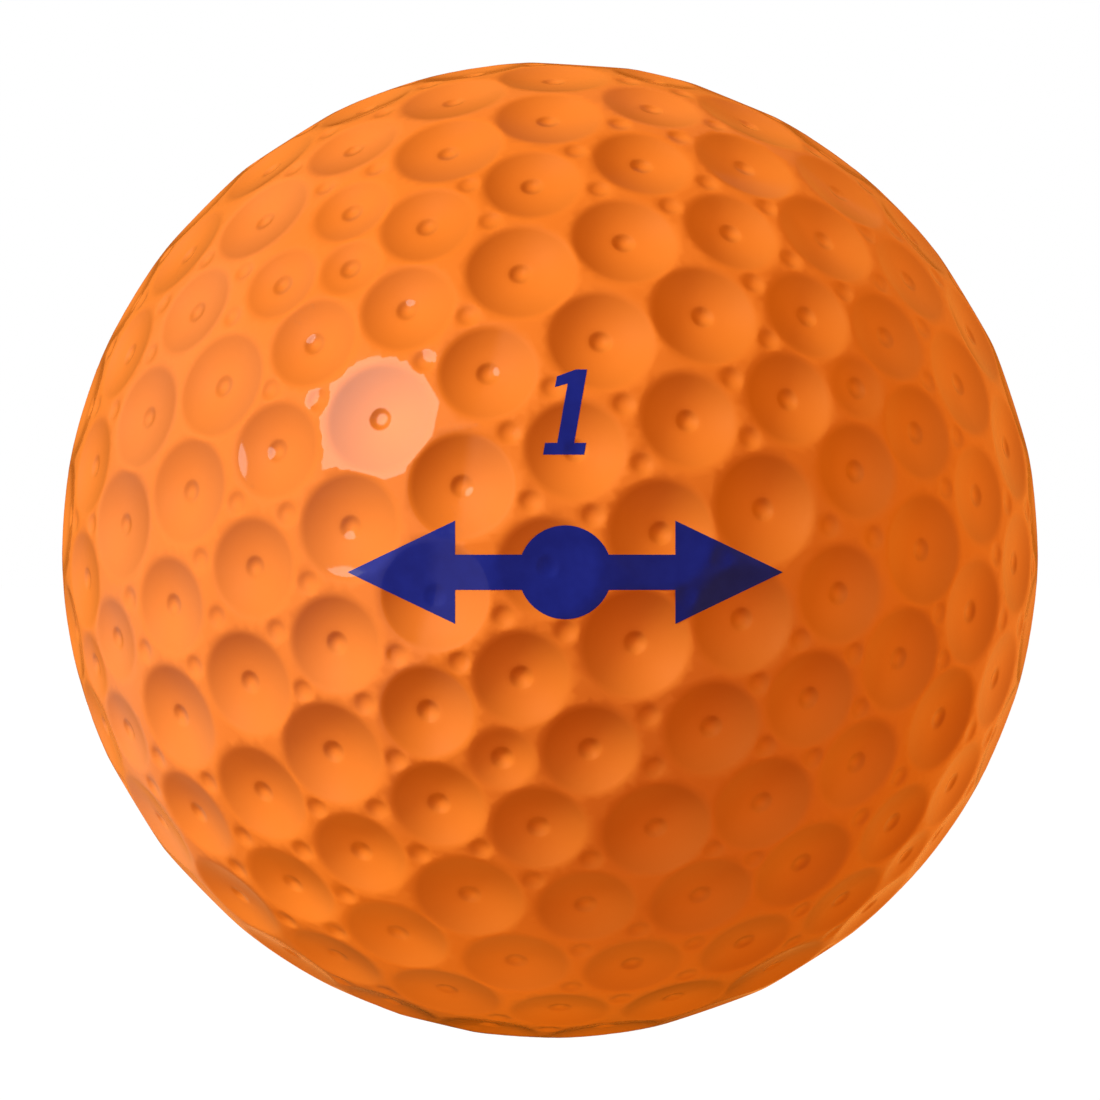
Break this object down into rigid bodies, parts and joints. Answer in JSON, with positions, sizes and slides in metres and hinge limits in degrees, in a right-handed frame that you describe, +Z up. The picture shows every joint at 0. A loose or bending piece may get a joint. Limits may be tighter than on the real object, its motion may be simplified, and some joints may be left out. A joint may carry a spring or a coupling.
{
  "type": "golf ball",
  "caption": "Dimpled golf ball with a layered core and cover, a printed play number and an alignment arrow.",
  "frame": {"origin": "centre of the ball", "axes": "+Z up for the printed number, -Y towards the front print, +X to the right of the front print"},
  "size_m": [0.0426, 0.0426, 0.0426],
  "materials": {
    "core_rubber": "solid moulded rubber, matte",
    "mantle_plastic": "moulded thermoplastic, satin",
    "cover": "moulded cover in bright orange under a clear gloss coat",
    "ink": "pad-printed navy ink under a clear gloss coat"
  },
  "bodies": {
    "root": {"core": "core_rubber", "mantle": "mantle_plastic", "cover_pole_half": "cover", "cover_far_half": "cover", "print_number_front": "ink", "print_mark_front": "ink", "print_number_back": "ink", "print_mark_back": "ink"}
  },
  "joints": []
}
